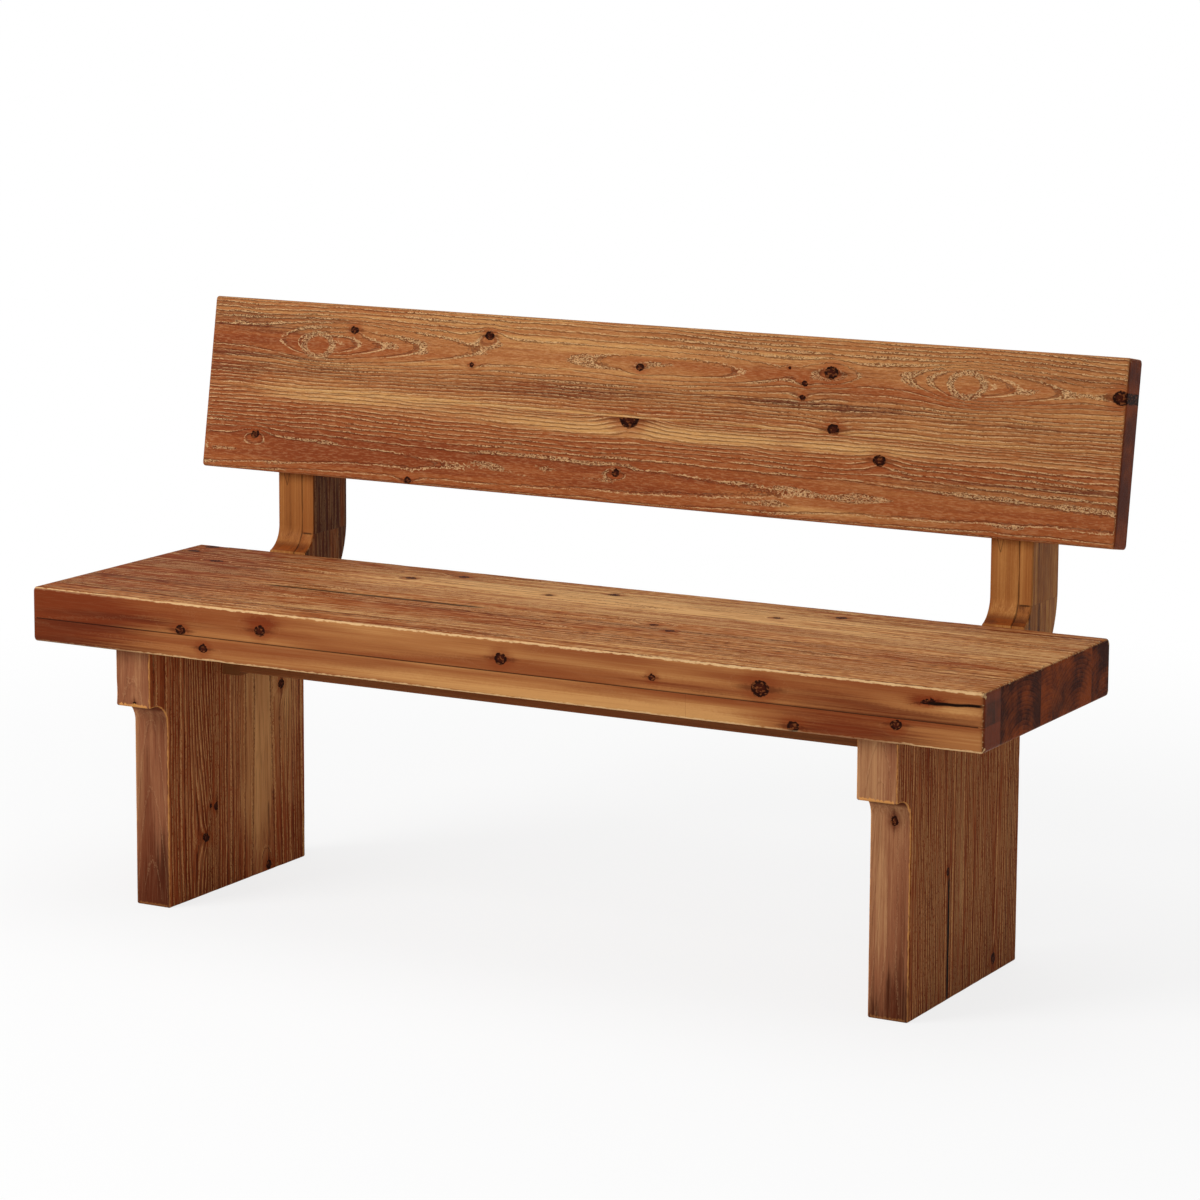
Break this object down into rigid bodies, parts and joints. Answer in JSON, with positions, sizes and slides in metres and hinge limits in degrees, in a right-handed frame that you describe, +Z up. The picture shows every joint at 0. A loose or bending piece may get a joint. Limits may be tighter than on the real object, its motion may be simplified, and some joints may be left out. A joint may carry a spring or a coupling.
{
  "type": "dining bench with back",
  "caption": "Long rustic dining bench of brushed softwood: thick slab seat on stepped slab legs, leaning plank backrest on curved posts.",
  "frame": {"origin": "on the floor, under the middle of the bench's outline", "axes": "+X along the bench, +Y to the back, +Z up"},
  "size_m": [1.5, 0.549, 0.8508],
  "materials": {
    "seat_wood": "brushed, stained and waxed softwood",
    "back_wood": "brushed, stained and waxed softwood",
    "leg_wood": "brushed, stained and waxed softwood",
    "post_wood": "brushed, stained and waxed softwood",
    "frame_wood": "stained softwood",
    "dowel_wood": "plain beech",
    "steel": "zinc plated"
  },
  "bodies": {
    "root": {"seat_nose_upper": "seat_wood", "seat_nose_lower_left": "seat_wood", "seat_nose_lower_right": "seat_wood", "seat_board_front": "seat_wood", "seat_board_middle": "seat_wood", "seat_board_rear": "seat_wood", "seat_board_back": "seat_wood", "back_board_upper": "back_wood", "back_board_lower": "back_wood", "leg_left_front": "leg_wood", "leg_left_middle": "leg_wood", "leg_left_rear": "leg_wood", "leg_right_front": "leg_wood", "leg_right_middle": "leg_wood", "leg_right_rear": "leg_wood", "post_left_main": "post_wood", "post_left_side_upper": "post_wood", "post_left_side_lower": "post_wood", "post_right_main": "post_wood", "post_right_side_upper": "post_wood", "post_right_side_lower": "post_wood", "stretcher": "frame_wood", "cleat_left": "frame_wood", "cleat_right": "frame_wood", "leg_dowels": "dowel_wood", "post_screws": "steel", "post_washers": "steel", "back_screws": "steel", "cleat_screws": "steel", "cleat_bolts": "steel", "cleat_washers": "steel", "cleat_inserts": "steel", "stretcher_screws": "steel"}
  },
  "joints": []
}
